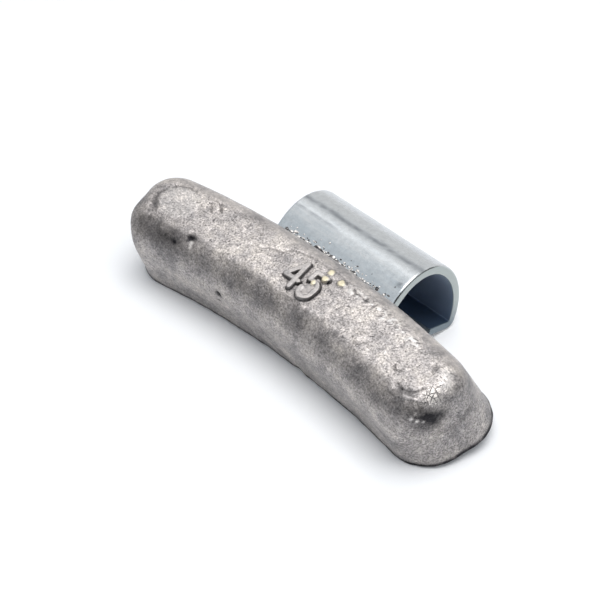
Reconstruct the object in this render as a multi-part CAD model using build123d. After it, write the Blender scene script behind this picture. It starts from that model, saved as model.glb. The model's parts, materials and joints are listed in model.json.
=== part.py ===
from build123d import *

import os
from math import asin, atan2, cos, degrees, hypot, radians, sin, sqrt, tan

# A clip-on wheel balance weight: a curved bar of cast lead with a spring-steel clip cast into its rear wall.
# It is built in the casting frame, in millimetres: X along the bar, Y towards the clip, and Z up from the flat
# back that seats on the rim. At the end it is turned to lie as it comes to rest: front edge and clip on the floor.

# Lead bar
BAR_RADIUS = 111.8  # centreline radius of the bar in plan
BAR_LENGTH = 45.1  # along the centreline, at the back
BAR_WIDTH = 10.95  # at the back
BAR_HEIGHT = 9.3
END_RADIUS = 4.4  # rounding of the bar's ends in plan, at the back
LEAN = 10.4  # degrees, how far the mould's opening direction leans from the back's normal to the front
FRONT_DRAFT = 0.5  # degrees from that direction, on the front wall
FRONT_SHOULDER = 4.5  # height of the rounding between the front wall and the face
FRONT_INSET = 3.1  # from the back's outline to the face's front edge, seen along that direction
REAR_DRAFT = 7.8  # degrees, on the rear wall and the ends
REAR_SHOULDER = 2.3  # height of the rounding there
REAR_INSET = 2.75  # from the back's outline to the face's edge there
FACE_CORNER = 1.8  # rounding of the face's corners in plan

# Raised number on the face, which tells the mass in grams
STROKE_WIDTH = 0.5
NUMBER_HEIGHT = 0.42  # above the face
NUMBER_ROOT = 0.3  # how deep the strokes are sunk, so that they merge with the bar
NUMBER_START = -0.7  # where the first digit begins, along X
NUMBER_FOOT = 0.87  # from the face's front edge to the foot of the first digit
DIGIT_TALL = 3.2
FOUR_WIDTH = 1.75
FOUR_BAR = 1.0  # height of the cross stroke
FOUR_SLANT = 0.4  # how far the stem's foot lies beyond its top
FOUR_STEM = 1.05  # the stem's top from the digit's left
FIVE_WIDTH = 1.45
FIVE_DROP = 0.2  # how much lower the second digit sits
FIVE_SHELF = 2.15  # height of the stroke between spine and bowl
FIVE_TAIL = 0.2  # how far the bowl's end turns up
DIGIT_GAP = 0.75

# Spring clip: a strip bent across X, described by its outer surface
CLIP_WIDTH = 16.8
CLIP_THICKNESS = 1.0
CLIP_OFFSET = 0.35  # the clip's middle from the bar's middle
EXIT_HEIGHT = 7.1  # where the outer surface leaves the rear wall, above the back
TONGUE_ANGLE = 26.5  # degrees, the tongue's rise to the rear
TONGUE_DEPTH = 6.3  # length that is cast in
EXIT_STUB = 0.75  # straight length between the wall and the arch
ARCH_RADIUS = 5.28
ARCH_TURN = 80.2  # degrees
BACK_RADIUS = 7.64
BACK_TURN = 68.5  # degrees
KINK_RADIUS = 1.15
KINK_TURN = 83.7  # degrees
LIP_LENGTH = 2.85
EDGE_ROUNDING = 0.3  # along the strip's outer edges, as left by the shears
LOCK_HOLE_RADIUS = 1.2  # holes in the tongue that the lead fills
LOCK_HOLE_SPACING = 9.0
LOCK_HOLE_INSET = 2.4  # from the tongue's end

# Worked-out sizes of the bar
lean_slope = tan(radians(LEAN))
rear_slope = tan(radians(REAR_DRAFT)) + lean_slope
wall_height = BAR_HEIGHT - FRONT_SHOULDER  # up to here every wall is straight


def plan_point(radius, angle):
    """A point of the plan at a radius and an angle (radians) about the bar's centre of curvature."""
    return (radius * sin(angle), radius * cos(angle) - BAR_RADIUS)


def side_inset(height, draft, shoulder, face_inset):
    """How far a side has moved in at a height: up the drafted wall, then round a quarter of an ellipse."""
    wall_top = BAR_HEIGHT - shoulder
    wall_inset = tan(radians(draft)) * min(height, wall_top)
    rise = min(max((height - wall_top) / shoulder, 0), 1)
    return wall_inset + (face_inset - wall_inset) * (1 - sqrt(1 - rise**2))


def bar_section(height):
    """The bar's level section at a height, moved to the front by the mould's lean."""
    front_inset = side_inset(height, FRONT_DRAFT, FRONT_SHOULDER, FRONT_INSET)
    rear_inset = side_inset(height, REAR_DRAFT, REAR_SHOULDER, REAR_INSET)
    outer = BAR_RADIUS + BAR_WIDTH / 2 - rear_inset
    inner = BAR_RADIUS - BAR_WIDTH / 2 + front_inset
    half = (BAR_LENGTH / 2 - rear_inset) / BAR_RADIUS
    rear = ThreePointArc(plan_point(outer, -half), plan_point(outer, 0), plan_point(outer, half))
    front = ThreePointArc(plan_point(inner, half), plan_point(inner, 0), plan_point(inner, -half))
    near_end = Line(rear @ 1, front @ 0)
    far_end = Line(front @ 1, rear @ 0)
    section = make_face([rear, near_end, front, far_end])
    for side, share in ((0, front_inset / FRONT_INSET), (-1, rear_inset / REAR_INSET)):
        corners = section.vertices().group_by(Axis.Y)[side]
        section = fillet(corners, END_RADIUS + (FACE_CORNER - END_RADIUS) * share)
    return Pos(0, -lean_slope * height, height) * section


def stroke(path):
    """A line of the number, drawn with a round-ended stroke."""
    return SlotArc(path, STROKE_WIDTH)


def digit_four(left, foot):
    top = (left + FOUR_STEM, foot + DIGIT_TALL)
    bar_y = foot + FOUR_BAR
    hook = Polyline(top, (left, bar_y), (left + FOUR_WIDTH, bar_y))
    stem = Line(top, (left + FOUR_STEM + FOUR_SLANT, foot))
    return stroke(Wire(hook.edges())) + stroke(stem)


def digit_five(left, foot):
    bowl_radius = FIVE_WIDTH / 2
    flag = Line((left + FIVE_WIDTH, foot + DIGIT_TALL), (left, foot + DIGIT_TALL))
    spine = Line(flag @ 1, (left, foot + FIVE_SHELF))
    shelf = Line(spine @ 1, (left + bowl_radius, foot + FIVE_SHELF))
    bowl_top = JernArc(shelf @ 1, shelf % 1, bowl_radius, -90)
    bowl_side = Line(bowl_top @ 1, (left + FIVE_WIDTH, foot + bowl_radius))
    bowl_foot = JernArc(bowl_side @ 1, bowl_side % 1, bowl_radius, -180)
    tail = Line(bowl_foot @ 1, (left, foot + bowl_radius + FIVE_TAIL))
    return stroke(Wire([flag, spine, shelf, bowl_top, bowl_side, bowl_foot, tail]))


def raised_number():
    """The two digits, standing up from inside the face."""
    foot = -BAR_WIDTH / 2 + FRONT_INSET - lean_slope * BAR_HEIGHT + NUMBER_FOOT
    four = digit_four(NUMBER_START, foot)
    five = digit_five(NUMBER_START + FOUR_WIDTH + DIGIT_GAP, foot - FIVE_DROP)
    sunk = Pos(0, 0, BAR_HEIGHT - NUMBER_ROOT)
    return [extrude(sunk * digit, NUMBER_HEIGHT + NUMBER_ROOT) for digit in (four, five)]


def cast_bar():
    """The bar as cast, before the clip's room is taken out."""
    walls = loft([bar_section(0), bar_section(wall_height)], ruled=True)
    rises = [FRONT_SHOULDER * sin(radians(turn)) for turn in range(0, 91, 10)]
    shoulder = loft([bar_section(wall_height + rise) for rise in rises])
    bar = walls + shoulder
    for digit in raised_number():
        bar += digit
    return bar


def strip_side(inset):
    """One side of the bent strip in the plane across the bar, inset from the outer surface."""
    exit_point = Vector(BAR_WIDTH / 2 - rear_slope * EXIT_HEIGHT, EXIT_HEIGHT)
    along = Vector(cos(radians(TONGUE_ANGLE)), sin(radians(TONGUE_ANGLE)))
    inward = Vector(along.Y, -along.X)
    tongue_end = exit_point - along * TONGUE_DEPTH + inward * inset
    arch_start = exit_point + along * EXIT_STUB + inward * inset
    tongue = Line(tongue_end, arch_start)
    arch = JernArc(tongue @ 1, tongue % 1, ARCH_RADIUS - inset, -ARCH_TURN)
    back = JernArc(arch @ 1, arch % 1, BACK_RADIUS - inset, -BACK_TURN)
    kink = JernArc(back @ 1, back % 1, KINK_RADIUS - inset, -KINK_TURN)
    lip = Line(kink @ 1, kink @ 1 + (kink % 1) * LIP_LENGTH)
    return [tongue, arch, back, kink, lip]


def bent_clip():
    """The clip, a strip of even thickness with two lock holes in its tongue."""
    outer = strip_side(0)
    inner = strip_side(CLIP_THICKNESS)
    tongue_edge = Line(outer[0] @ 0, inner[0] @ 0)
    lip_edge = Line(outer[-1] @ 1, inner[-1] @ 1)
    section = make_face(outer + inner + [tongue_edge, lip_edge])
    across = Plane(origin=(CLIP_OFFSET, 0, 0), x_dir=(0, 1, 0), z_dir=(1, 0, 0))
    clip = extrude(across * section, CLIP_WIDTH / 2, both=True)
    middles = [piece @ 0.5 for piece in outer]
    sides = (CLIP_OFFSET - CLIP_WIDTH / 2, CLIP_OFFSET + CLIP_WIDTH / 2)
    rims = [clip.edges().sort_by_distance((x, p.X, p.Y))[0] for x in sides for p in middles]
    clip = fillet(rims, EDGE_ROUNDING)
    hole_point = outer[0] @ 0 + (outer[0] % 0) * LOCK_HOLE_INSET
    hole_axis = inner[0] @ 0 - outer[0] @ 0
    for side in (-1, 1):
        hole_x = CLIP_OFFSET + side * LOCK_HOLE_SPACING / 2
        hole_plane = Plane(origin=(hole_x, hole_point.X, hole_point.Y), z_dir=(0, hole_axis.X, hole_axis.Y))
        clip -= extrude(hole_plane * Circle(LOCK_HOLE_RADIUS), CLIP_THICKNESS, both=True)
    return clip


def rest_tilt():
    """Degrees the back rises to the rear when the bar's front edge and the clip's kink both lie on the floor."""
    inner = BAR_RADIUS - BAR_WIDTH / 2 + END_RADIUS
    corner_angle = BAR_LENGTH / 2 / BAR_RADIUS - asin(END_RADIUS / inner)
    front_y = plan_point(inner, corner_angle)[1] - END_RADIUS
    kink = strip_side(0)[-2]
    kink_centre = kink.arc_center
    reach = hypot(kink_centre.X - front_y, kink_centre.Y)
    return degrees(asin(KINK_RADIUS / reach) - atan2(kink_centre.Y, kink_centre.X - front_y))


spring_clip = bent_clip()
lead_body = cast_bar() - spring_clip

# Lie the weight down and put the origin at the bottom centre of its box
turn = Rot(rest_tilt(), 0, 0)
lying = Compound([turn * lead_body, turn * spring_clip]).bounding_box()
settle = Pos(-lying.center().X, -lying.center().Y, -lying.min.Z) * turn

os.makedirs("parts", exist_ok=True)
export_step(settle * lead_body, "parts/lead_body.step")
export_step(settle * spring_clip, "parts/spring_clip.step")
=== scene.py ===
import json
import math

import bmesh
import bpy
import numpy as np
from mathutils import Matrix, Vector, noise


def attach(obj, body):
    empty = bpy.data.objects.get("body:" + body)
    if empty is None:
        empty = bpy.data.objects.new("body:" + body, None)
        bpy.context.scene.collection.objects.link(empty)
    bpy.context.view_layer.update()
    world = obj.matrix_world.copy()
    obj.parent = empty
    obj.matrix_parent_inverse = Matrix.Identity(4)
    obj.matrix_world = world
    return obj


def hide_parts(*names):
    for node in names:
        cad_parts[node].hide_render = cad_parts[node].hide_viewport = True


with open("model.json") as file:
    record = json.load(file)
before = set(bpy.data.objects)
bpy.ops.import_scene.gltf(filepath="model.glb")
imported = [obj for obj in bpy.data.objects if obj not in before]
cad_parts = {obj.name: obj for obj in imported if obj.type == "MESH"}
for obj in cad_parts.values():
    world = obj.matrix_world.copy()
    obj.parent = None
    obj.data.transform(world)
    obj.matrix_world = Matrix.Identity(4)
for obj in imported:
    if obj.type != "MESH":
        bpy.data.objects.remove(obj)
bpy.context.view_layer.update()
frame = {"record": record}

# A clip-on wheel balance weight lying on a white table: a bar of cast lead with a zinc-plated spring clip.
# Its pieces are worked out in the casting frame, in millimetres: X along the bar, Y towards the clip, and Z
# up from the flat back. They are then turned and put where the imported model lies, in metres.
MM = 0.001
rim_seat = next(mount for mount in frame["record"]["mounts"] if mount["name"] == "rim_seat")
REST_TILT = math.atan2(rim_seat["axis"][1], -rim_seat["axis"][2])  # the back rises to the rear by this
REST_PLACE = np.array(rim_seat["pos_m"]) / MM  # where the casting frame's origin lies

# Lead bar
BAR_RADIUS = 111.8  # centreline radius in plan
BAR_LENGTH = 45.1
BAR_WIDTH = 10.95
BAR_HEIGHT = 9.3
END_RADIUS = 4.4  # of the ends in plan
LEAN = math.radians(10.4)  # of the whole section, to the front
FRONT_DRAFT = math.radians(0.5)
FRONT_SHOULDER = 4.5  # height of the rounding above the wall
FRONT_TURN = math.radians(60)  # how far that rounding turns before the face's edge
FRONT_INSET = 3.3  # of the face's edge from the back's outline
FRONT_STEP = 0.05  # height of the step up to the face
REAR_DRAFT = math.radians(7.8)  # this and the next four are those of the rear and the ends
REAR_SHOULDER = 2.3
REAR_TURN = math.radians(78)
REAR_INSET = 2.75
REAR_STEP = 0.04
FRONT_SPREAD = 8  # how fast the front's section gives way to the other towards the corners
FOOT_ROUNDING = 0.15  # of the edge round the back
EDGE_WIDTH = 0.28  # width of the step up to the face
EDGE_WANDER = 0.28  # how far that step strays
WANDER_FROM = 1.5  # inset from which a side strays
spine_half = (BAR_LENGTH - BAR_WIDTH) / 2  # half the middle line that the face and the back close on

# Raised number, the mass in grams
STROKE_WIDTH = 0.6
STROKE_SLOPE = 0.14  # width of a stroke's sloping side
NUMBER_HEIGHT = 0.42
NUMBER_START = -0.7
NUMBER_FOOT = -3.2
DIGIT_TALL = 3.2
DIGIT_GAP = 0.75
FOUR_WIDTH = 1.75
FOUR_BAR = 1.0  # height of the cross stroke
FOUR_SLANT = 0.4
FOUR_STEM = 1.05
FIVE_WIDTH = 1.45
FIVE_DROP = 0.2  # how much lower the second digit sits
FIVE_SHELF = 2.15
FIVE_TAIL = 0.2
BOWL_STEP = 15  # degrees between points of the bowl
BOWL_CENTRE = (2.5, -2.3)  # the second digit's bowl, which is nearly filled
BOWL_HALVES = (0.6, 0.95)
BOWL_FILL = 0.34
RAISED_BITS = (  # centre on the face, radius and height
    ((4.4, 0.45), 0.46, 0.12),
    ((2.65, 0.78), 0.42, 0.07),
    ((3.0, -0.35), 0.46, 0.46),
    ((2.4, -1.4), 0.36, 0.46),
)
DIRT_AND_SHADE_WIDTH = 0.1  # half width of the dirt and painted shade round the feet of the digits and the bits
DIRT_OVERLAP = 0.03  # how far it creeps up a stroke
five_start = NUMBER_START + FOUR_WIDTH + DIGIT_GAP
five_foot = NUMBER_FOOT - FIVE_DROP

# Spring clip, described by its outer surface
CLIP_WIDTH = 16.8
CLIP_THICKNESS = 1.0
CLIP_MIDDLE = 0.35
TONGUE_ANGLE = math.radians(26.5)
TONGUE_DEPTH = 6.3
EXIT_STUB = 0.75
EXIT_HEIGHT = 7.1
BENDS = (  # radius and turn of the arch, the back and the kink
    (5.28, math.radians(80.2)),
    (7.64, math.radians(68.5)),
    (1.15, math.radians(83.7)),
)
LIP_LENGTH = 2.85
OUTER_ROUNDING = 0.3  # of the strip's edges
INNER_ROUNDING = 0.1
CUT_FADE = (0.12, 0.02)  # from the strip's sides, where the look of the cut edge begins and is full
STREAK_PLACE, STREAK_WIDTH = 3.6, 0.36  # painted dark reflection streak along the arch: length of strip from its start, half width
THIN_STREAK_PLACE, THIN_STREAK_WIDTH = 2.15, 0.16  # a second, thinner one
THIN_STREAK_FADE = (1.0, 4.0)  # it comes in between these, towards the far side
CLIP_STAIN, STAIN_RADIUS = (8.0, 4.75, 7.8), 0.35

# Beads of lead along the seam
SPLASHES = 200
SPLASH_STRETCH = (-7.4, -1.0, 8.4)  # start, thickest place and end along X
SPLASH_REACH = 0.2  # how far from the seam a common bead lies
SPLASH_SIZE = 0.07  # of a common bead; a few are several times larger
SPLASH_LENGTHS, SPLASH_WIDTHS = (0.8, 2.2), (0.8, 1.5)  # least and most, times the size
SPLASH_FLATTENING = 0.7
SPLASH_SOIL = (0.0, 0.1, 0.8)  # each bead has one of these strengths of grime
SPLASH_SEED = 7

# Marks on the casting, as seen on its face and walls, with painted shade and painted glints among them
GROOVES = (  # points along the groove, half width and depth; a ridge where the depth is negative
    # Crack up to the number and on behind it
    ([(-5.5, -1.4), (-4.6, -0.8), (-3.1, -0.4), (-2.8, 0.3), (-1.6, 0.8), (-0.5, 1.1)], 0.09, 0.10),
    ([(-0.5, 1.1), (2.2, 1.25), (5.0, 1.15)], 0.12, 0.06),
    # Two scratches with a ridge between them
    ([(-13.8, -0.3), (-13.0, -1.1)], 0.13, 0.18),
    ([(-13.4, 0.0), (-12.6, -0.8)], 0.12, -0.10),
    ([(-13.0, 0.3), (-12.2, -0.4)], 0.13, 0.18),
    # Nicks in the near half of the face
    ([(15.4, -3.5), (15.8, -3.9), (16.3, -3.7)], 0.12, 0.12),
    ([(10.3, -4.3), (10.9, -3.9), (11.4, -3.2)], 0.14, 0.12),
    # Hollow round the smooth patch at the far end
    ([(-19.1, -2.1), (-19.5, -2.7), (-18.9, -3.8), (-18.2, -4.3)], 0.34, 0.13),
    ([(-18.7, -1.2), (-18.2, -0.6), (-17.3, -0.1), (-16.3, -0.2)], 0.24, 0.10),
    # Faint lines along the face's rear and front edges
    ([(-14.9, 0.1), (-12.1, 0.4), (-9.0, 0.7), (-7.5, 0.9)], 0.20, 0.03),
    ([(-4.2, -4.6), (-2.0, -4.4), (-0.4, -4.5)], 0.12, 0.05),
    # Fold round the near end of the face, with the ridge outside it
    ([(16.8, -4.9), (17.6, -5.1), (18.6, -4.8), (19.3, -4.1), (19.4, -3.5)], 0.17, 0.13),
    ([(16.8, -5.5), (18.2, -5.8), (19.5, -5.3), (20.4, -4.7)], 0.22, -0.12),
)
GROOVE_SHADE_AND_SOIL = 3.0  # grime and painted shade in a groove, per millimetre of its depth
SHADE_AND_DIRT_LINES = (  # points in space, half width and strength of painted shade and dirt
    # Painted shade round the smooth patch, and painted dark reflection with dirt along the shoulder at the
    # far end
    ([(-19.2, -2.2, 9.3), (-18.9, -3.8, 9.3), (-17.3, -4.7, 9.3), (-15.0, -4.2, 9.3)], 0.5, 0.12),
    ([(-12.2, -5.5, 9.1), (-14.8, -6.5, 8.8), (-17.3, -6.5, 9.0)], 1.0, 0.22),
    # Painted shade round the near end and under its shoulder, and dirt across its wall
    ([(20.2, -6.0, 8.1), (21.1, -5.0, 7.4), (21.5, -3.8, 7.0)], 0.9, 0.16),
    (
        [(21.6, -0.2, 5.0), (22.0, -1.3, 4.8), (21.9, -2.3, 4.4), (21.7, -3.7, 4.6), (21.2, -4.8, 4.9)],
        0.35,
        0.25,
    ),
)
PITS = (  # centre, radius and depth; a raised spot where the depth is negative
    # Far shoulder: a pit with a burr below it, and a smaller pit
    ((-12.0, -4.85, 8.95), 0.45, 0.26),
    ((-11.8, -5.05, 8.8), 0.20, -0.15),
    ((-13.55, -6.0, 8.45), 0.30, 0.12),
    # Front wall and its foot
    ((-7.0, -6.6, 5.6), 0.40, 0.32),
    ((-7.2, -6.4, 4.4), 0.26, 0.18),
    ((2.8, -5.5, 0.1), 0.55, 0.15),
    # Blister on the face
    ((10.5, -3.3, 9.3), 0.60, -0.16),
)
PIT_SHADE_AND_SOIL = 4.0  # grime and painted shade in a pit, per millimetre of its depth
SHADE_AND_SMUDGES = (  # centre, radius and strength of painted shade and grime; cleaner than the rest where it is negative
    # Painted dark reflection and grime along the front shoulder, from the far end to the near end
    ((-20.0, -4.5, 8.4), 1.8, 0.25),
    ((-17.6, -6.2, 9.1), 1.4, 0.26),
    ((-14.6, -5.9, 9.0), 1.7, 0.26),
    ((-5.1, -5.2, 9.0), 0.9, 0.15),
    ((-3.1, -5.8, 8.4), 1.2, 0.12),
    ((0.2, -5.6, 8.5), 1.2, 0.14),
    ((3.8, -5.4, 8.8), 1.1, 0.14),
    ((7.7, -6.0, 8.5), 1.2, 0.10),
    ((15.9, -6.9, 8.4), 1.0, 0.22),
    ((17.6, -6.6, 8.9), 0.9, 0.22),
    ((19.1, -6.5, 8.7), 0.9, 0.15),
    # Painted shade and dark reflection in the hollow of the near end
    ((20.9, -5.3, 7.3), 1.7, 0.53),
    ((21.3, -4.2, 6.7), 1.0, 0.25),
    # Painted shade and grime along the edge of the face at the near end
    ((17.9, -5.4, 9.3), 0.45, 0.5),
    ((19.0, -5.1, 9.3), 0.50, 0.5),
    ((18.9, -1.4, 9.3), 0.45, 0.6),
    ((19.3, -0.3, 9.2), 0.45, 0.4),
    # Front wall: its foot, and the cleaner far end
    ((0.7, -5.7, 1.2), 0.8, 0.35),
    ((-16.0, -6.5, 4.0), 3.5, -0.12),
)
PAINTED_GLINTS = (  # centre, radius and strength of painted glints and highlights
    # Painted glint on the burr below the pit on the far shoulder
    ((-11.8, -5.05, 8.8), 0.20, 1.0),
    ((-11.65, -5.4, 8.6), 0.14, 0.8),
    # Painted highlights on the near end of the face
    ((19.9, -1.2, 9.3), 0.60, 0.3),
    ((20.8, -2.0, 9.0), 0.60, 0.3),
    ((20.7, -3.8, 8.7), 0.70, 0.35),
    # Painted glints on specks in the hollow of the near end
    ((20.1, -6.4, 7.8), 0.14, 0.5),
    ((20.5, -6.1, 7.4), 0.16, 0.6),
    ((20.2, -5.9, 8.2), 0.12, 0.5),
    ((20.8, -5.6, 7.1), 0.12, 0.4),
)
GLINT_CLEARING = 3.0  # grime that a painted glint clears, times its strength
CRACKLE = ((20.6, -3.8, 8.7), 1.3)  # centre and radius of the cracked skin at the near end
FAR_PATCH = (-16.6, -2.3)  # a smooth oval patch near the far end
FAR_PATCH_HALVES = (2.5, 2.1)
FACE_SIDES = (-5.0, -1.5)  # from front to rear along Y, where the inset of the face's edge changes
NEAR_END = (18.0, 21.0)  # along X, where the near end begins and where it is reached
DARKER_ENDS = (18.5, 21.0)  # the same for the darkening of the walls at both ends
BURRS_BEGIN, BURRS_END = (4.0, 7.0), (15.0, 17.0)  # along X, where the burrs of the rear edge come and go
BURRS_REAR_OF = -2.2  # along Y
BURR_INSET = REAR_INSET + 0.35
BURR_BAND = 0.6  # half width of the band with burrs
BURR_SIZE = 0.35
EDGE_DIRT_AND_SHADE_WIDTH = 0.16  # half width of the dirt and painted shade in the crease at the face's front edge
SHADE_RISE, SHADE_FADE = 0.25, 1.2  # below that edge, how soon the painted shade on the shoulder begins and how it fades
BAND_HEIGHT, BAND_WIDTH = 7.9, 0.8  # the grime and painted dark reflection along the shoulder
WALL_INSET = 1.0  # up to this inset a point belongs to a wall
FLASH_HEIGHT = 0.34  # of the dark thin flash and painted contact shadow round the foot
NEAR_FLASH = 0.14  # how much higher it is at the near end

# How finely the pieces are divided
COARSE_STEP = 0.17
FINE_STEP = 0.08
FINE_FROM, FINE_TO = -1.1, 5.2  # the stretch with the number
CORNER_POINTS = 36
END_POINTS = 10
BACK_RINGS = 8
FOOT_RINGS = 4
WALL_RINGS = 34
SHOULDER_RINGS = 24
EDGE_RINGS = 4
FACE_RINGS = 32
TONGUE_STEPS, BEND_STEPS, LIP_STEPS = 20, 40, 10
STRIP_POINTS = 40  # across half of the strip
OUTER_POINTS, INNER_POINTS = 6, 5  # round its edges
SHARP_ANGLE = math.radians(40)
SEED_SHIFT = (13.7, 7.9, 3.3)  # how far apart the lumps of two seeds are taken from the same noise

# Materials
# The grain, pinholes and flecks of a cast skin are finer; they are drawn as coarse as they need to show
LEAD_PATTERNS = (  # name, size in millimetres, detail and roughness
    ("cloud", 2.8, 4.0, 0.6),
    ("stain", 0.9, 6.0, 0.75),
    ("grain", 0.5, 3.0, 0.65),
    ("pinhole", 0.3, 1.0, 0.5),
    ("fleck", 0.2, 2.0, 0.7),
)
LEAD_MARKS = ("grime_and_shade", "pale_and_glint", "cream", "frost", "crackle")
PLATE_SIZE = 0.55  # of the cracked skin
ZINC_MARKS = ("bend", "streaks_and_stain", "inside", "cut")
MOTTLE_SIZES = (4.0, 0.7, 0.7)  # along the bend and across it
SPECK_SIZE = 0.5
NOISE_RANGE = {"From Min": 0.3, "From Max": 0.7}  # where most values of a noise lie
UNDER, OVER, MIXED = 6, 7, 2  # sockets of a node that mixes two colours

# Camera, as the photograph was taken
VIEW_AZIMUTH = math.radians(46.08)
VIEW_ELEVATION = math.radians(42.17)
FOCAL_PIXELS = 1914.0
PIXELS_PER_MM = 9.744
ORIGIN_PIXEL = (319.33, 323.76)  # where the casting frame's origin falls
IMAGE_SIZE = 600
SENSOR = 36.0
CLIP_RANGE = (0.01, 20.0)  # in metres

# Light and stage, in metres
TENT_LIGHT = "a4aab2"  # the tent as a light, against white where it is seen
TABLE_HALF = 3.0
TABLE_LIFT, FAR_LIFT = 0.1, 0.7  # how much the table glows by the weight and further off, to clear to white
LIFT_DISTANCES = (0.08, 0.3)  # where the glow begins to grow and where it is full
SOFTBOXES = (  # name, direction, distance, size and power
    ("strip_softbox", (0, 0.29, 0.957), 0.3, (0.7, 0.045), 0.075),
    ("overhead_softbox", (0.15, -0.06, 0.99), 0.45, (0.3, 0.3), 1.5),
)
CARDS = (  # name, colour, azimuth and half width, elevation of the top at the ends and in the middle
    ("black_card", "303030", VIEW_AZIMUTH, math.radians(110), math.radians(28), math.radians(60)),
    ("grey_card", "f4f4f4", VIEW_AZIMUTH + math.pi, math.radians(69), math.radians(35), math.radians(35)),
)
CARD_DISTANCE = 0.5
CARD_STEPS = 60
CARD_PEAK = math.radians(25)  # how wide the higher middle of a card is


def plan_point(radius, angle):
    """A point of the plan at a radius and an angle about the bar's centre of curvature."""
    return np.stack([radius * np.sin(angle), radius * np.cos(angle) - BAR_RADIUS], -1)


def heading(angle):
    """The direction at an angle in a plane."""
    return np.stack([np.cos(angle), np.sin(angle)], -1)


def between(count):
    """Even places between 0 and 1, without the two ends."""
    return np.linspace(0, 1, count + 2)[1:-1]


def smooth_step(value, low, high):
    """Rises smoothly from 0 at the low value to 1 at the high one."""
    part = np.clip((value - low) / (high - low), 0, 1)
    return part * part * (3 - 2 * part)


def bell(away, width):
    """A soft mark, 1 where the distance is 0 and fading over the width."""
    return np.exp(-((away / width) ** 2))


def spot(points, centre, radius):
    """A soft round mark about a point."""
    return bell(np.linalg.norm(points - centre, axis=1), radius)


def lumps(points, size, seed):
    """Smooth noise from about -1 to 1 at each point, with lumps of the given size in millimetres."""
    shift = Vector([seed * part for part in SEED_SHIFT])
    return np.array([noise.noise(Vector(p) / size + shift) for p in points.tolist()])


def distance_to_line(points, line):
    """Distance of points to a run of straight pieces, in two or three dimensions."""
    line = np.asarray(line, float)
    points = points[:, : line.shape[1]]
    best = np.full(len(points), np.inf)
    for start, stop in zip(line[:-1], line[1:]):
        way = stop - start
        part = np.clip((points - start) @ way / (way @ way), 0, 1)
        best = np.minimum(best, np.linalg.norm(points - start - part[:, None] * way, axis=1))
    return best


def side_places():
    """Places along a side of the bar from -1 to 1, closer together beside the number."""
    reach = BAR_LENGTH / 2 - END_RADIUS
    places = [-reach]
    while places[-1] < reach:
        fine = FINE_FROM < places[-1] < FINE_TO
        places.append(places[-1] + (FINE_STEP if fine else COARSE_STEP))
    return np.interp(places, (places[0], places[-1]), (-1, 1))


def bar_outline(side):
    """The outline of the back in plan, as points and their outward directions."""
    outer = BAR_RADIUS + BAR_WIDTH / 2
    inner = BAR_RADIUS - BAR_WIDTH / 2
    half = BAR_LENGTH / 2 / BAR_RADIUS
    quarter = math.pi / 2
    rear_stop = half - math.asin(END_RADIUS / (outer - END_RADIUS))
    front_stop = half - math.asin(END_RADIUS / (inner + END_RADIUS))
    front_centre = plan_point(inner + END_RADIUS, front_stop)
    rear_centre = plan_point(outer - END_RADIUS, rear_stop)

    def turn(start, stop):
        return heading(start + (stop - start) * between(CORNER_POINTS))

    front_turn = turn(-quarter - front_stop, -half)
    end_way = np.repeat(heading(np.array([-half])), END_POINTS, 0)
    end_middle = front_centre + (rear_centre - front_centre) * np.linspace(0, 1, END_POINTS)[:, None]
    rear_turn = turn(-half, quarter - rear_stop)
    near = [
        (front_centre + END_RADIUS * front_turn, front_turn),
        (end_middle + END_RADIUS * end_way, end_way),
        (rear_centre + END_RADIUS * rear_turn, rear_turn),
    ]
    far = [(points[::-1] * (-1, 1), ways[::-1] * (-1, 1)) for points, ways in near[::-1]]
    front = [(plan_point(inner, side * front_stop), heading(-quarter - side * front_stop))]
    rear = [(plan_point(outer, side[::-1] * rear_stop), heading(quarter - side[::-1] * rear_stop))]
    runs = front + near + rear + far
    return np.concatenate([run[0] for run in runs]), np.concatenate([run[1] for run in runs])


def spine_places(side):
    """For each point of the outline, its place from -1 to 1 on the middle line that the face closes on."""
    share = spine_half / (BAR_LENGTH / 2)
    corner = share + (1 - share) * between(CORNER_POINTS)
    end = np.ones(END_POINTS)
    side = side * share
    return np.concatenate([side, corner, end, corner[::-1], side[::-1], -corner, -end, -corner[::-1]])


def side_rings(draft, shoulder, turn, face_inset, face_step):
    """Insets and heights of the rings up one side: foot, wall, shoulder and the step to the face."""
    foot = np.linspace(0, math.pi / 2, FOOT_RINGS)
    wall = np.linspace(FOOT_ROUNDING, BAR_HEIGHT - shoulder, WALL_RINGS)
    wall_inset = wall * math.tan(draft)
    curve = np.linspace(0, turn, SHOULDER_RINGS)
    curve_in = (face_inset - wall_inset[-1]) * (1 - np.cos(curve)) / (1 - math.cos(turn))
    curve_up = (shoulder - face_step) * np.sin(curve) / math.sin(turn)
    step = np.linspace(0, 1, EDGE_RINGS)
    foot_inset = FOOT_ROUNDING * (1 - np.sin(foot))
    foot_height = FOOT_ROUNDING * (1 - np.cos(foot))
    step_inset = face_inset + EDGE_WIDTH * step
    step_height = BAR_HEIGHT - face_step * (1 - smooth_step(step, 0, 1))
    insets = np.concatenate([foot_inset, wall_inset[1:], wall_inset[-1] + curve_in[1:], step_inset[1:]])
    heights = np.concatenate([foot_height, wall[1:], wall[-1] + curve_up[1:], step_height[1:]])
    return insets, heights


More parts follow.
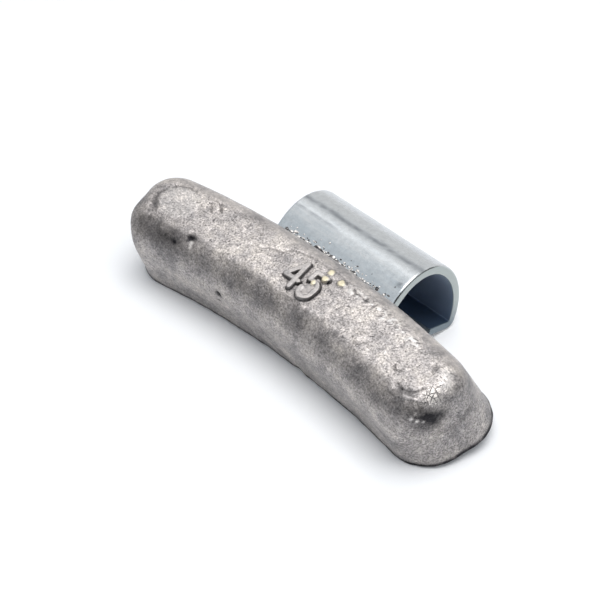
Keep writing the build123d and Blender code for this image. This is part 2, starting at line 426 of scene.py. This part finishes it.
def ring_grid(plan, outward, middle):
    """Rings of points out over the back, up the sides and in over the face, and the inset of each point."""
    front_share = np.minimum(outward[:, 1], 0) ** FRONT_SPREAD
    front = (FRONT_DRAFT, FRONT_SHOULDER, FRONT_TURN, FRONT_INSET, FRONT_STEP)
    rear = (REAR_DRAFT, REAR_SHOULDER, REAR_TURN, REAR_INSET, REAR_STEP)
    front_insets, front_heights = side_rings(*front)
    rear_insets, rear_heights = side_rings(*rear)
    insets = rear_insets[:, None] + (front_insets - rear_insets)[:, None] * front_share
    heights = rear_heights[:, None] + (front_heights - rear_heights)[:, None] * front_share
    flat = np.column_stack([plan, np.zeros(len(plan))])
    stray = EDGE_WANDER * (lumps(flat, 2.2, seed=4) + 0.4 * lumps(flat, 0.7, seed=5))
    insets = insets + stray * smooth_step(insets, WANDER_FROM, REAR_INSET)
    sides = plan - insets[..., None] * outward
    out_share = np.linspace(0, 1, BACK_RINGS + 1)[1:-1, None, None]
    back = middle + (sides[0] - middle) * out_share
    in_share = np.linspace(0, 1, FACE_RINGS + 1)[1:-1, None, None]
    face = sides[-1] + (middle - sides[-1]) * in_share
    face_insets = insets[-1] + (BAR_WIDTH / 2 - insets[-1]) * in_share[..., 0]
    back_level = np.zeros(back.shape[:2])
    level = np.concatenate([back_level, heights, np.full(face.shape[:2], BAR_HEIGHT)])
    grid = np.concatenate([np.concatenate([back, sides, face]), level[..., None]], -1)
    grid[..., 1] -= math.tan(LEAN) * level
    return grid, np.concatenate([back_level, insets, face_insets])


def ring_faces(rings, count):
    """The faces between closed rings that follow one another, each of so many points."""
    following = np.roll(np.arange(count), -1)
    faces = []
    for low in range(0, (rings - 1) * count, count):
        high = low + count
        faces += [(low + i, low + j, high + j, high + i) for i, j in enumerate(following)]
    return faces


def bar_surface():
    """The plain bar: its points with their outward directions and insets, and its faces."""
    side = side_places()
    places, spine_index = np.unique(np.round(spine_places(side), 9), return_inverse=True)
    spine = plan_point(np.full(len(places), BAR_RADIUS), places * spine_half / BAR_RADIUS)
    plan, outward = bar_outline(side)
    count = len(plan)
    grid, insets = ring_grid(plan, outward, spine[spine_index])
    ways = np.cross(np.roll(grid, -1, 1) - np.roll(grid, 1, 1), np.gradient(grid, axis=0))
    ways /= np.linalg.norm(ways, axis=-1, keepdims=True)
    points, ways, insets = [grid.reshape(-1, 3)], [ways.reshape(-1, 3)], [insets.ravel()]
    faces = ring_faces(len(grid), count)
    last_ring = (len(grid) - 1) * count
    # The first ring closes on the middle line of the back, the last ring on that of the face
    for height, first, up in ((0.0, 0, -1.0), (BAR_HEIGHT, last_ring, 1.0)):
        base = sum(len(run) for run in points)
        lean = np.array([0, -math.tan(LEAN) * height])
        points.append(np.column_stack([spine + lean, np.full(len(spine), height)]))
        ways.append(np.repeat([[0.0, 0.0, up]], len(spine), 0))
        insets.append(np.full(len(spine), BAR_WIDTH / 2))
        for i, j in enumerate(np.roll(np.arange(count), -1)):
            rim = [first + i, first + j, base + spine_index[j], base + spine_index[i]]
            rim = rim[:3] if rim[2] == rim[3] else rim
            faces.append(tuple(rim if up > 0 else rim[::-1]))
    return np.concatenate(points), np.concatenate(ways), np.concatenate(insets), faces


def number_lines():
    """The centre lines of the digits 4 and 5 on the face."""
    four_top = (NUMBER_START + FOUR_STEM, NUMBER_FOOT + DIGIT_TALL)
    bar_y = NUMBER_FOOT + FOUR_BAR
    hook = [four_top, (NUMBER_START, bar_y), (NUMBER_START + FOUR_WIDTH, bar_y)]
    stem = [four_top, (four_top[0] + FOUR_SLANT, NUMBER_FOOT)]
    bowl = FIVE_WIDTH / 2
    top = five_foot + DIGIT_TALL
    shelf = five_foot + FIVE_SHELF
    five = [(five_start + FIVE_WIDTH, top), (five_start, top), (five_start, shelf)]
    for centre, start, stop in ((shelf - bowl, 90, 0), (five_foot + bowl, 0, -180)):
        for degrees in range(start, stop - 1, -BOWL_STEP):
            way = math.radians(degrees)
            five.append((five_start + bowl + bowl * math.cos(way), centre + bowl * math.sin(way)))
    five.append((five_start, five_foot + bowl + FIVE_TAIL))
    return [hook, stem, five]


def to_frame(points):
    """Casting-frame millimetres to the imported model's frame in metres."""
    turn = Matrix.Rotation(REST_TILT, 3, "X")
    return (points @ np.array(turn).T + REST_PLACE) * MM


def new_piece(name, points, faces, material, marks):
    """A smooth mesh piece from casting-frame points; marks are named values per point for the material."""
    mesh = bpy.data.meshes.new(name)
    mesh.from_pydata(to_frame(points).tolist(), [], faces)
    mesh.polygons.foreach_set("use_smooth", [True] * len(mesh.polygons))
    for mark, values in marks.items():
        layer = mesh.attributes.new(mark, "FLOAT", "POINT")
        layer.data.foreach_set("value", np.asarray(values, np.float32))
    mesh.materials.append(material)
    mesh.update()
    piece = bpy.data.objects.new(name, mesh)
    bpy.context.scene.collection.objects.link(piece)
    return piece


def srgb(code):
    """A colour written as sRGB hex, in linear values."""
    parts = [int(code[i : i + 2], 16) / 255 for i in (0, 2, 4)]
    return tuple(v / 12.92 if v <= 0.04045 else ((v + 0.055) / 1.055) ** 2.4 for v in parts) + (1.0,)


def per_mm(size):
    """The scale that gives a pattern features of this size in millimetres."""
    return 1 / (size * MM)


def new_material(name):
    """A material with its node tree and its shader."""
    material = bpy.data.materials.new(name)
    material.use_nodes = True
    return material, material.node_tree, material.node_tree.nodes["Principled BSDF"]


def fill_inputs(tree, node, inputs):
    """Gives a node's inputs their values; one that is given an output is linked to it."""
    for name, value in inputs.items():
        if isinstance(value, bpy.types.NodeSocket):
            tree.links.new(value, node.inputs[name])
        else:
            node.inputs[name].default_value = value


def add_node(tree, kind, inputs=None, out=0, stops=(), **settings):
    """Adds a node with its settings, inputs and colour stops, and returns one of its outputs."""
    node = tree.nodes.new("ShaderNode" + kind)
    for name, value in settings.items():
        setattr(node, name, value)
    fill_inputs(tree, node, inputs or {})
    for number, (place, code) in enumerate(stops):
        band = node.color_ramp.elements
        stop = band[number] if number < len(band) else band.new(place)
        stop.position = place
        stop.color = srgb(code)
    return node.outputs[out]


def lead_openings(tree, place, skin):
    """Where the lead's skin is open, from 0 to 1: pinholes, and cracks between plates of crackled skin."""
    pinhole = {"Value": skin["pinhole"], "From Min": 0.26, "From Max": 0.35, "To Min": 0.55, "To Max": 0.0}
    hole = add_node(tree, "MapRange", pinhole)
    holed = add_node(tree, "Math", {0: hole, 1: skin["frost"]}, operation="MULTIPLY")
    plates = {"Vector": place, "Scale": per_mm(PLATE_SIZE)}
    rim = add_node(tree, "TexVoronoi", plates, out="Distance", feature="DISTANCE_TO_EDGE")
    crack = add_node(tree, "MapRange", {"Value": rim, "From Max": 0.1, "To Min": 0.9, "To Max": 0.0})
    cracked = add_node(tree, "Math", {0: crack, 1: skin["crackle"]}, operation="MULTIPLY")
    return add_node(tree, "Math", {0: holed, 1: cracked}, operation="MAXIMUM")


def lead_colour(tree, skin, opened):
    """The lead's colour: blotched and flecked oxide, then bright metal and painted glints, crust, and grime
    and painted shade over it.
    """
    blotch = add_node(tree, "Mix", {"Factor": 0.5, "A": skin["cloud"], "B": skin["stain"]})
    oxide = ((0.4, "949191"), (0.5, "bab5b3"), (0.6, "d2ccc7"))
    tint = add_node(tree, "ValToRGB", {"Fac": blotch}, stops=oxide)
    grained = {"Value": skin["grain"], **NOISE_RANGE, "To Min": 0.78, "To Max": 1.2}
    grain = add_node(tree, "MapRange", grained)
    flecked = {"Value": skin["fleck"], **NOISE_RANGE, "To Min": -0.56, "To Max": 0.5}
    swing = add_node(tree, "MapRange", flecked)
    fleck = add_node(tree, "Math", {0: swing, 1: skin["frost"], 2: 1.0}, operation="MULTIPLY_ADD")
    gain = add_node(tree, "Math", {0: grain, 1: fleck}, operation="MULTIPLY")
    colour = add_node(tree, "VectorMath", {0: tint, "Scale": gain}, operation="SCALE")
    # the grime mark carries painted shade as well as grime; both are laid on as the dark colour
    ragged = add_node(tree, "Math", {0: skin["stain"], 1: skin["grime_and_shade"]}, operation="ADD")
    soil_and_shade = add_node(tree, "MapRange", {"Value": ragged, "From Min": 0.5, "From Max": 1.4})
    dark = add_node(tree, "Math", {0: soil_and_shade, 1: opened}, operation="MAXIMUM")
    # the pale layer carries painted glints and highlights as well as brighter metal
    for share, code in ((skin["pale_and_glint"], "ecebe9"), (skin["cream"], "d8d0b6"), (dark, "2f2e31")):
        layers = {"Factor": share, UNDER: colour, OVER: srgb(code)}
        colour = add_node(tree, "Mix", layers, out=MIXED, data_type="RGBA")
    return colour


def cast_lead():
    """Cast lead, poured into a coated iron mould and left as it came out.

    The metal froze against the coating, so the skin is grained and frosted with fine flecks, and cracked
    where it froze last. It has dulled to grey oxide, with ragged grime in its hollows and brighter metal in
    places; painted shade darkens its hollows, creases, front shoulder and foot, and painted glints brighten
    spots.
    """
    material, tree, shader = new_material("cast_lead")
    place = add_node(tree, "TexCoord", out="Object")
    skin = {name: add_node(tree, "Attribute", out="Fac", attribute_name=name) for name in LEAD_MARKS}
    for name, size, detail, raggedness in LEAD_PATTERNS:
        pattern = {"Vector": place, "Scale": per_mm(size), "Detail": detail, "Roughness": raggedness}
        skin[name] = add_node(tree, "TexNoise", pattern)
    opened = lead_openings(tree, place, skin)
    roughness = {"Value": skin["grain"], **NOISE_RANGE, "To Min": 0.48, "To Max": 0.62}
    rough = add_node(tree, "MapRange", roughness)
    normal = add_node(tree, "Bump", {"Height": skin["grain"], "Distance": 0.035 * MM})
    frosted = {"Height": skin["fleck"], "Distance": 0.03 * MM, "Strength": skin["frost"], "Normal": normal}
    normal = add_node(tree, "Bump", frosted)
    normal = add_node(tree, "Bump", {"Height": opened, "Distance": -0.06 * MM, "Normal": normal})
    colour = lead_colour(tree, skin, opened)
    fill_inputs(tree, shader, {"Base Color": colour, "Metallic": 1.0, "Roughness": rough, "Normal": normal})
    return material


def zinc_plate():
    """Zinc-plated spring steel, rolled, sheared and bent.

    The plating is bright and slightly blue, mottled along the bend and duller towards the lead; painted dark
    reflections run along it as streaks. The inside is bluer and duller, with painted shade that deepens
    towards the lip, and the sheared edges are greyer, with painted shade towards the lip.
    """
    material, tree, shader = new_material("zinc_plated_steel")
    place = add_node(tree, "TexCoord", out="Object")
    marks = {name: add_node(tree, "Attribute", out="Fac", attribute_name=name) for name in ZINC_MARKS}
    along = add_node(tree, "Mapping", {"Vector": place, "Scale": [per_mm(size) for size in MOTTLE_SIZES]})
    mottle = add_node(tree, "TexNoise", {"Vector": along, "Scale": 1.0, "Detail": 4.0, "Roughness": 0.6})
    fine = {"Vector": place, "Scale": per_mm(SPECK_SIZE), "Detail": 4.0, "Roughness": 0.65}
    speck = add_node(tree, "TexNoise", fine)
    blotch = add_node(tree, "MapRange", {"Value": mottle, **NOISE_RANGE, "To Min": -0.06, "To Max": 0.06})
    shade = add_node(tree, "Math", {0: marks["bend"], 1: blotch}, operation="ADD")
    plating = ((0.0, "afb7bd"), (0.14, "c3c7ca"), (0.5, "cacccd"))
    outside = add_node(tree, "ValToRGB", {"Fac": shade}, stops=plating)
    patchy = add_node(tree, "MapRange", {"Value": speck, **NOISE_RANGE, "To Min": 0.9, "To Max": 1.08})
    colour = add_node(tree, "VectorMath", {0: outside, "Scale": patchy}, operation="SCALE")
    # inside: bluer, with painted shade that deepens towards the lip
    inside_shade = ((0.2, "e6f0fd"), (0.5, "d8e6f8"), (0.85, "93a6bf"), (0.97, "46566a"))
    shaded_inside = add_node(tree, "ValToRGB", {"Fac": marks["bend"]}, stops=inside_shade)
    # cut edges: greyer, with painted shade towards the lip
    edge = add_node(tree, "ValToRGB", {"Fac": marks["bend"]}, stops=((0.75, "aab0ae"), (0.95, "7b868d")))
    for name, over in (("streaks_and_stain", srgb("6f757b")), ("inside", shaded_inside), ("cut", edge)):
        layers = {"Factor": marks[name], UNDER: colour, OVER: over}
        colour = add_node(tree, "Mix", layers, out=MIXED, data_type="RGBA")
    rough = add_node(tree, "MapRange", {"Value": marks["inside"], "To Min": 0.27, "To Max": 0.62})
    normal = add_node(tree, "Bump", {"Height": speck, "Distance": 0.004 * MM})
    fill_inputs(tree, shader, {"Base Color": colour, "Metallic": 1.0, "Roughness": rough, "Normal": normal})
    return material


# The bar's skin is worked out point by point: its rise in millimetres, and its marks for the material, which
# end between 0 and 1. In the functions below, a number before a term is how strongly that term shows.


def raise_number(skin, points, face, upper):
    """Stands the digits and the bits beside them up from the face."""
    stroke = np.min([distance_to_line(points, line) for line in number_lines()], axis=0)
    side = (STROKE_WIDTH + STROKE_SLOPE) / 2
    digit = smooth_step(side - stroke, 0, STROKE_SLOPE)
    bowl = np.linalg.norm((points[:, :2] - BOWL_CENTRE) / BOWL_HALVES, axis=1)
    raised = np.maximum(NUMBER_HEIGHT * digit, BOWL_FILL * (1 - smooth_step(bowl, 0.8, 1)))
    # dirt and painted shade round the feet of the strokes, and a painted highlight on their tops
    skin["grime_and_shade"] += 0.7 * bell(stroke - side + DIRT_OVERLAP, DIRT_AND_SHADE_WIDTH) * face * (bowl > 1)
    skin["pale_and_glint"] += 0.12 * digit * face
    skin["frost"] *= 1 - 0.7 * smooth_step(raised, 0, BOWL_FILL) * face
    for centre, radius, height in RAISED_BITS:
        away = np.linalg.norm(points[:, :2] - centre, axis=1) + 0.12 * lumps(points, 0.4, seed=13)
        bit = smooth_step(radius - away, 0, STROKE_SLOPE)
        raised = np.maximum(raised, height * bit)
        skin["cream"] += 0.9 * bit * upper
        # dirt and a painted shadow edge round each bit's foot
        skin["grime_and_shade"] += (0.35 * bell(away - radius, DIRT_AND_SHADE_WIDTH) - bit) * upper
        skin["frost"] *= 1 - 0.8 * bit * upper
    skin["rise"] += raised * upper


def mark_casting(skin, points, upper):
    """Grooves and pits of this casting, with its dirt, painted shade and painted glints."""
    for line, width, depth in GROOVES:
        away = distance_to_line(points, line) + 0.5 * width * lumps(points, 0.5, seed=15)
        groove = depth * bell(away, width) * upper
        skin["rise"] -= groove
        # a groove is darkened by its depth: grime and painted shade
        skin["grime_and_shade"] += GROOVE_SHADE_AND_SOIL * groove
    # painted shade and dirt along lines
    for line, width, strength in SHADE_AND_DIRT_LINES:
        skin["grime_and_shade"] += strength * bell(distance_to_line(points, line), width)
    for centre, radius, depth in PITS:
        pit = spot(points, centre, radius)
        skin["rise"] -= depth * pit
        # a pit is darkened by its depth: grime and painted shade
        skin["grime_and_shade"] += PIT_SHADE_AND_SOIL * max(depth, 0) * pit
    # painted shade and grime in soft spots
    for centre, radius, strength in SHADE_AND_SMUDGES:
        skin["grime_and_shade"] += strength * spot(points, centre, radius)
    # painted glints, which also clear the grime under them
    for centre, radius, strength in PAINTED_GLINTS:
        glint = strength * spot(points, centre, radius)
        skin["pale_and_glint"] += glint
        skin["grime_and_shade"] -= GLINT_CLEARING * glint
    skin["crackle"] += spot(points, *CRACKLE)


def smooth_far_patch(skin, points, upper):
    """The patch at the far end that set a little higher and smoother."""
    reach = np.linalg.norm((points[:, :2] - FAR_PATCH) / FAR_PATCH_HALVES, axis=1)
    ragged = reach + 0.15 * lumps(points, 1.1, seed=14)
    patch = (1 - smooth_step(ragged, 0.85, 1.05)) * upper
    skin["rise"] += 0.06 * patch
    skin["pale_and_glint"] += 0.12 * patch
    skin["grime_and_shade"] -= 0.15 * patch


def roughen_rear_edge(skin, points, insets, upper):
    """Burrs along the near half of the face's rear edge, brightened with painted glints, and dark specks."""
    along = points[:, 0]
    stretch = smooth_step(along, *BURRS_BEGIN) * (1 - smooth_step(along, *BURRS_END))
    rear = upper * (points[:, 1] > BURRS_REAR_OF)
    edge = bell(insets - BURR_INSET, BURR_BAND) * rear * stretch
    burrs = edge * smooth_step(lumps(points, BURR_SIZE, seed=19), 0.2, 0.45)
    specks = edge * smooth_step(lumps(points, BURR_SIZE, seed=20), 0.25, 0.45)
    skin["rise"] += 0.04 * burrs
    # painted glints on the burrs
    skin["pale_and_glint"] += 0.8 * burrs
    skin["grime_and_shade"] += 0.7 * specks - burrs


def shade_and_soil_walls(skin, points, insets, front, face_inset, upper):
    """Grime and painted shade on the front shoulder and the face's front edge, and a dark flash with painted
    contact shadow round the foot.
    """
    # dirt and painted shade in the crease at the face's front edge
    edge = bell(insets - face_inset, EDGE_DIRT_AND_SHADE_WIDTH) * upper * front
    skin["grime_and_shade"] += 0.5 * edge * smooth_step(lumps(points, 4.0, seed=12), -0.1, 0.4)
    below = face_inset - insets
    # painted shade on the shoulder just below that edge
    shade = smooth_step(below, 0, SHADE_RISE) * np.exp(-np.maximum(below, 0) / SHADE_FADE) * upper * front
    skin["grime_and_shade"] += 0.2 * shade * (1 + 0.7 * lumps(points, 2.0, seed=17))
    # grime and painted dark reflection in a band along the front shoulder
    band = bell(points[:, 2] - BAND_HEIGHT, BAND_WIDTH) * front
    upright = points * (1, 1, 0.4)  # lumps that are longer up the wall
    skin["grime_and_shade"] += 0.13 * band * (1 + 0.9 * lumps(upright, 1.6, seed=9))
    # a dark flash with painted contact shadow round the foot
    height = FLASH_HEIGHT + NEAR_FLASH * smooth_step(points[:, 0], *NEAR_END)
    foot = np.exp(-((points[:, 2] / height) ** 4)) * (insets < WALL_INSET)
    flash_and_contact_shade = foot * (1 + 0.6 * lumps(points, 0.9, seed=10))
    skin["grime_and_shade"] += 0.9 * flash_and_contact_shade
    skin["rise"] += 0.06 * flash_and_contact_shade
    # the walls are darker towards both ends
    far, near = [smooth_step(end * points[:, 0], *DARKER_ENDS) for end in (-1, 1)]
    walls = 1 - upper * smooth_step(insets, WANDER_FROM, REAR_INSET)
    skin["grime_and_shade"] += (0.16 * far + 0.1 * near) * walls


def lead_bar(material):
    """The bar with its number, its marks and its cast skin."""
    points, ways, insets, faces = bar_surface()
    upper = points[:, 2] > BAR_HEIGHT / 2
    face_inset = np.interp(points[:, 1], FACE_SIDES, (FRONT_INSET, REAR_INSET))
    face = smooth_step(insets - face_inset, 0, EDGE_WIDTH) * upper
    front = np.maximum(-ways[:, 1], 0)
    rear = np.maximum(ways[:, 1], 0) * upper
    near_end = smooth_step(points[:, 0], *NEAR_END)
    waves = 0.06 * lumps(points, 6.0, seed=1) + 0.035 * lumps(points, 1.6, seed=2)
    skin = {name: np.zeros(len(points)) for name in LEAD_MARKS}
    skin["rise"] = waves * (1 - 0.6 * face) + 0.014 * lumps(points, 0.5, seed=3)
    # grime everywhere, with painted shade on the front-facing sides outside the face
    skin["grime_and_shade"] += 0.05 + 0.08 * front * (1 - face) + 0.09 * lumps(points, 3.0, seed=6)
    skin["frost"] += (0.8 + 0.2 * face + 0.4 * near_end) * (1 - 0.7 * smooth_step(rear, 0.2, 0.6))
    raise_number(skin, points, face, upper)
    mark_casting(skin, points, upper)
    smooth_far_patch(skin, points, upper)
    roughen_rear_edge(skin, points, insets, upper)
    shade_and_soil_walls(skin, points, insets, front, face_inset, upper)
    points = points + ways * skin.pop("rise")[:, None]
    marks = {name: np.clip(values, 0, 1) for name, values in skin.items()}
    return new_piece("lead_bar", points, faces, material, marks)


def clip_path():
    """The strip's outer surface in the plane across the bar: points, inward directions and run length."""
    rear_slope = math.tan(REAR_DRAFT) + math.tan(LEAN)
    start = np.array([BAR_WIDTH / 2 - rear_slope * EXIT_HEIGHT, EXIT_HEIGHT])
    quarter = math.pi / 2
    angle = TONGUE_ANGLE
    points, inward, run = [start - TONGUE_DEPTH * heading(angle)], [heading(angle - quarter)], [0.0]

    def straight(length, steps):
        origin = points[-1]
        for part in np.linspace(0, 1, steps + 1)[1:]:
            points.append(origin + length * part * heading(angle))
            inward.append(heading(angle - quarter))
            run.append(run[-1] + length / steps)

    straight(TONGUE_DEPTH + EXIT_STUB, TONGUE_STEPS)
    for radius, turn in BENDS:
        centre = points[-1] + radius * heading(angle - quarter)
        for part in np.linspace(0, turn, BEND_STEPS + 1)[1:]:
            way = heading(angle - part - quarter)
            points.append(centre - radius * way)
            inward.append(way)
            run.append(run[-1] + radius * turn / BEND_STEPS)
        angle -= turn
    straight(LIP_LENGTH, LIP_STEPS)
    return np.array(points), np.array(inward), np.array(run)


def seam_splashes(material):
    """Small beads of lead that splashed on the clip and along the seam when the bar was cast."""
    chance = np.random.default_rng(SPLASH_SEED)
    path, _, run = clip_path()
    points, faces, soil = [], [], []
    for number in range(SPLASHES):
        along = chance.triangular(*SPLASH_STRETCH)
        size = SPLASH_SIZE * (0.7 + chance.exponential(0.6))
        place = TONGUE_DEPTH + chance.exponential(SPLASH_REACH)
        seat = [np.interp(place, run, path[:, axis]) for axis in (0, 1)]
        shape = bmesh.new()
        bmesh.ops.create_icosphere(shape, subdivisions=2, radius=1.0)
        bead = np.array([vert.co for vert in shape.verts])
        first = sum(len(earlier) for earlier in points)
        faces += [tuple(first + vert.index for vert in side.verts) for side in shape.faces]
        shape.free()
        bead *= 1 + 0.35 * lumps(bead, 0.9, seed=20 + number)[:, None]
        length = chance.uniform(*SPLASH_LENGTHS)
        width = chance.uniform(*SPLASH_WIDTHS)
        bead *= size * np.array([length, width, SPLASH_FLATTENING])
        points.append(bead + (along, *seat))
        soil.append(np.full(len(bead), chance.choice(SPLASH_SOIL)))
    points = np.concatenate(points)
    marks = {name: np.zeros(len(points)) for name in LEAD_MARKS}
    marks["grime_and_shade"] += np.concatenate(soil)
    # the beads are lightened with painted glints
    marks["pale_and_glint"] += 0.5
    return new_piece("seam_splashes", points, faces, material, marks)


def strip_section():
    """The strip's section, round from the middle of its outer side: places along X and depths."""
    half = CLIP_WIDTH / 2
    quarter = math.pi / 2
    right = [(x, 0.0) for x in np.linspace(0, half - OUTER_ROUNDING, STRIP_POINTS)[:-1]]
    for turn in np.linspace(quarter, 0, OUTER_POINTS):
        x = half - OUTER_ROUNDING * (1 - math.cos(turn))
        right.append((x, OUTER_ROUNDING * (1 - math.sin(turn))))
    for turn in np.linspace(0, quarter, INNER_POINTS):
        x = half - INNER_ROUNDING * (1 - math.cos(turn))
        right.append((x, CLIP_THICKNESS - INNER_ROUNDING * (1 - math.sin(turn))))
    right += [(x, CLIP_THICKNESS) for x in np.linspace(half - INNER_ROUNDING, 0, STRIP_POINTS)[1:]]
    left = [(-x, depth) for x, depth in right[-2:0:-1]]
    return np.array(right + left)


def painted_streaks_and_stain(points, bend):
    """How much painted dark reflection streaks and a stain darken the clip, from 0 to 1."""
    streaks_and_stain = 0.62 * bell(bend - STREAK_PLACE, STREAK_WIDTH)
    streaks_and_stain += 0.5 * bell(bend - THIN_STREAK_PLACE, THIN_STREAK_WIDTH) * smooth_step(-points[:, 0], *THIN_STREAK_FADE)
    uneven = 0.5 * lumps(points * (0.3, 1, 1), 0.8, seed=11)  # both are drawn out along the clip
    uneven += 0.6 * lumps(points * (0.6, 1, 1), 0.4, seed=18)
    stain = 0.7 * spot(points, CLIP_STAIN, STAIN_RADIUS) * (1 + lumps(points, 0.3, seed=16))
    return np.clip(streaks_and_stain * (1 + uneven) + stain, 0, 1)


def spring_clip(material):
    """The bent strip, with marks for its bend, its painted reflection streaks and stain, its inside and its
    cut edges.
    """
    path, inward, run = clip_path()
    section = strip_section()
    count = len(section)
    points = []
    for point, way in zip(path, inward):
        across = point + section[:, 1:] * way
        points.append(np.column_stack([CLIP_MIDDLE + section[:, 0], across]))
    points = np.concatenate(points)
    last_ring = (len(path) - 1) * count
    faces = ring_faces(len(path), count)
    faces.append(tuple(range(count))[::-1])
    faces.append(tuple(range(last_ring, last_ring + count)))
    bend = np.repeat(run, count) - TONGUE_DEPTH - EXIT_STUB
    bent_length = run[-1] - LIP_LENGTH - TONGUE_DEPTH - EXIT_STUB
    from_side = CLIP_WIDTH / 2 - np.abs(section[:, 0])
    marks = {
        "bend": np.clip(bend / bent_length, 0, 1),
        "streaks_and_stain": painted_streaks_and_stain(points, bend),
        "inside": np.tile(section[:, 1] > CLIP_THICKNESS - INNER_ROUNDING / 2, len(path)),
        "cut": np.tile(smooth_step(from_side, *CUT_FADE), len(path)),
    }
    clip = new_piece("spring_clip_strip", points, faces, material, marks)
    clip.data.set_sharp_from_angle(angle=SHARP_ANGLE)
    return clip


def seen_ray(tree):
    """1 for rays that show a surface as it looks: straight to the camera, mirrored or let through."""
    seen = 0.0
    for kind in ("Camera", "Glossy", "Transmission"):
        ray = add_node(tree, "LightPath", out=f"Is {kind} Ray")
        seen = add_node(tree, "Math", {0: seen, 1: ray}, operation="MAXIMUM")
    return seen


def table_top():
    """A table painted matt white, which scatters light evenly; it glows a little, to clear to white."""
    material, tree, shader = new_material("white_table")
    fill_inputs(tree, shader, {"Base Color": srgb("f4f4f4"), "Roughness": 0.9})
    place = add_node(tree, "TexCoord", out="Object")
    away = add_node(tree, "VectorMath", {0: place}, out="Value", operation="LENGTH")
    near, far = LIFT_DISTANCES
    growth = {"Value": away, "From Min": near, "From Max": far, "To Min": TABLE_LIFT, "To Max": FAR_LIFT}
    level = add_node(tree, "MapRange", growth)
    lift = add_node(tree, "Math", {0: seen_ray(tree), 1: level}, operation="MULTIPLY")
    glow = add_node(tree, "Emission", {"Strength": lift})
    both = add_node(tree, "AddShader", {0: shader.outputs[0], 1: glow})
    fill_inputs(tree, tree.nodes["Material Output"], {"Surface": both})
    mesh = bpy.data.meshes.new("table")
    corners = [(x * TABLE_HALF, y * TABLE_HALF, 0) for x, y in ((-1, -1), (1, -1), (1, 1), (-1, 1))]
    mesh.from_pydata(corners, [], [(0, 1, 2, 3)])
    mesh.materials.append(material)
    table = bpy.data.objects.new("table", mesh)
    bpy.context.scene.collection.objects.link(table)


def surroundings():
    """A white tent: white where it is seen or mirrored, and softer as a light."""
    world = bpy.data.worlds.new("white_tent")
    bpy.context.scene.world = world
    world.use_nodes = True
    tree = world.node_tree
    layers = {"Factor": seen_ray(tree), UNDER: srgb(TENT_LIGHT), OVER: srgb("ffffff")}
    cloth = add_node(tree, "Mix", layers, out=MIXED, data_type="RGBA")
    fill_inputs(tree, tree.nodes["Background"], {"Color": cloth})


def softbox(name, way, distance, size, energy):
    """A soft lamp over the table, which the camera doesn't see."""
    lamp = bpy.data.lights.new(name, "AREA")
    lamp.shape = "RECTANGLE"
    lamp.size, lamp.size_y = size
    lamp.energy = energy
    light = bpy.data.objects.new(name, lamp)
    light.visible_camera = False
    way = Vector(way).normalized()
    light.location = way * distance
    light.rotation_mode = "QUATERNION"
    light.rotation_quaternion = way.to_track_quat("Z", "Y")
    bpy.context.scene.collection.objects.link(light)


def card(name, code, azimuth, spread, top, peak):
    """A card standing round the table, seen only in reflections; it peaks in its middle."""
    material, tree, shader = new_material(name)
    black = {"Base Color": srgb("000000"), "Specular IOR Level": 0.0}
    fill_inputs(tree, shader, {**black, "Emission Color": srgb(code), "Emission Strength": 1.0})
    points, faces = [], []
    for turn in np.linspace(-spread, spread, CARD_STEPS):
        height = CARD_DISTANCE * math.tan(top + (peak - top) * bell(turn, CARD_PEAK))
        way = Vector((math.sin(azimuth + turn), -math.cos(azimuth + turn), 0)) * CARD_DISTANCE
        points.append(way)
        points.append(way + Vector((0, 0, height)))
    for low in range(0, 2 * (CARD_STEPS - 1), 2):
        faces.append((low, low + 2, low + 3, low + 1))
    mesh = bpy.data.meshes.new(name)
    mesh.from_pydata(points, [], faces)
    mesh.materials.append(material)
    stand = bpy.data.objects.new(name, mesh)
    stand.visible_camera = False
    stand.visible_diffuse = False
    stand.visible_shadow = False
    bpy.context.scene.collection.objects.link(stand)


def camera():
    """The camera, placed so that the casting frame's origin falls on its pixel."""
    a, e = VIEW_AZIMUTH, VIEW_ELEVATION
    right = Vector((math.cos(a), math.sin(a), 0))
    back = Vector((math.sin(a) * math.cos(e), -math.cos(a) * math.cos(e), math.sin(e)))
    up = back.cross(right)
    off_x = ORIGIN_PIXEL[0] - IMAGE_SIZE / 2
    off_y = ORIGIN_PIXEL[1] - IMAGE_SIZE / 2
    place = Vector(REST_PLACE) + (-off_x * right + off_y * up + FOCAL_PIXELS * back) / PIXELS_PER_MM
    data = bpy.data.cameras.new("camera")
    data.sensor_width = SENSOR
    data.lens = SENSOR * FOCAL_PIXELS / IMAGE_SIZE
    data.clip_start, data.clip_end = CLIP_RANGE
    cam = bpy.data.objects.new("camera", data)
    cam.location = place * MM
    cam.rotation_mode = "QUATERNION"
    cam.rotation_quaternion = Matrix((right, up, back)).transposed().to_quaternion()
    bpy.context.scene.collection.objects.link(cam)
    bpy.context.scene.camera = cam


camera()
surroundings()
for box in SOFTBOXES:
    softbox(*box)
table_top()
for reflector in CARDS:
    card(*reflector)
lead = cast_lead()
pieces = (
    (lead_bar(lead), "lead_body", "cast_lead"),
    (seam_splashes(lead), "lead_body", "cast_lead"),
    (spring_clip(zinc_plate()), "spring_clip", "zinc_plated_steel"),
)
for piece, node, finish in pieces:
    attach(piece, "root")
    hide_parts(node)
bpy.context.scene.view_settings.view_transform = "Standard"
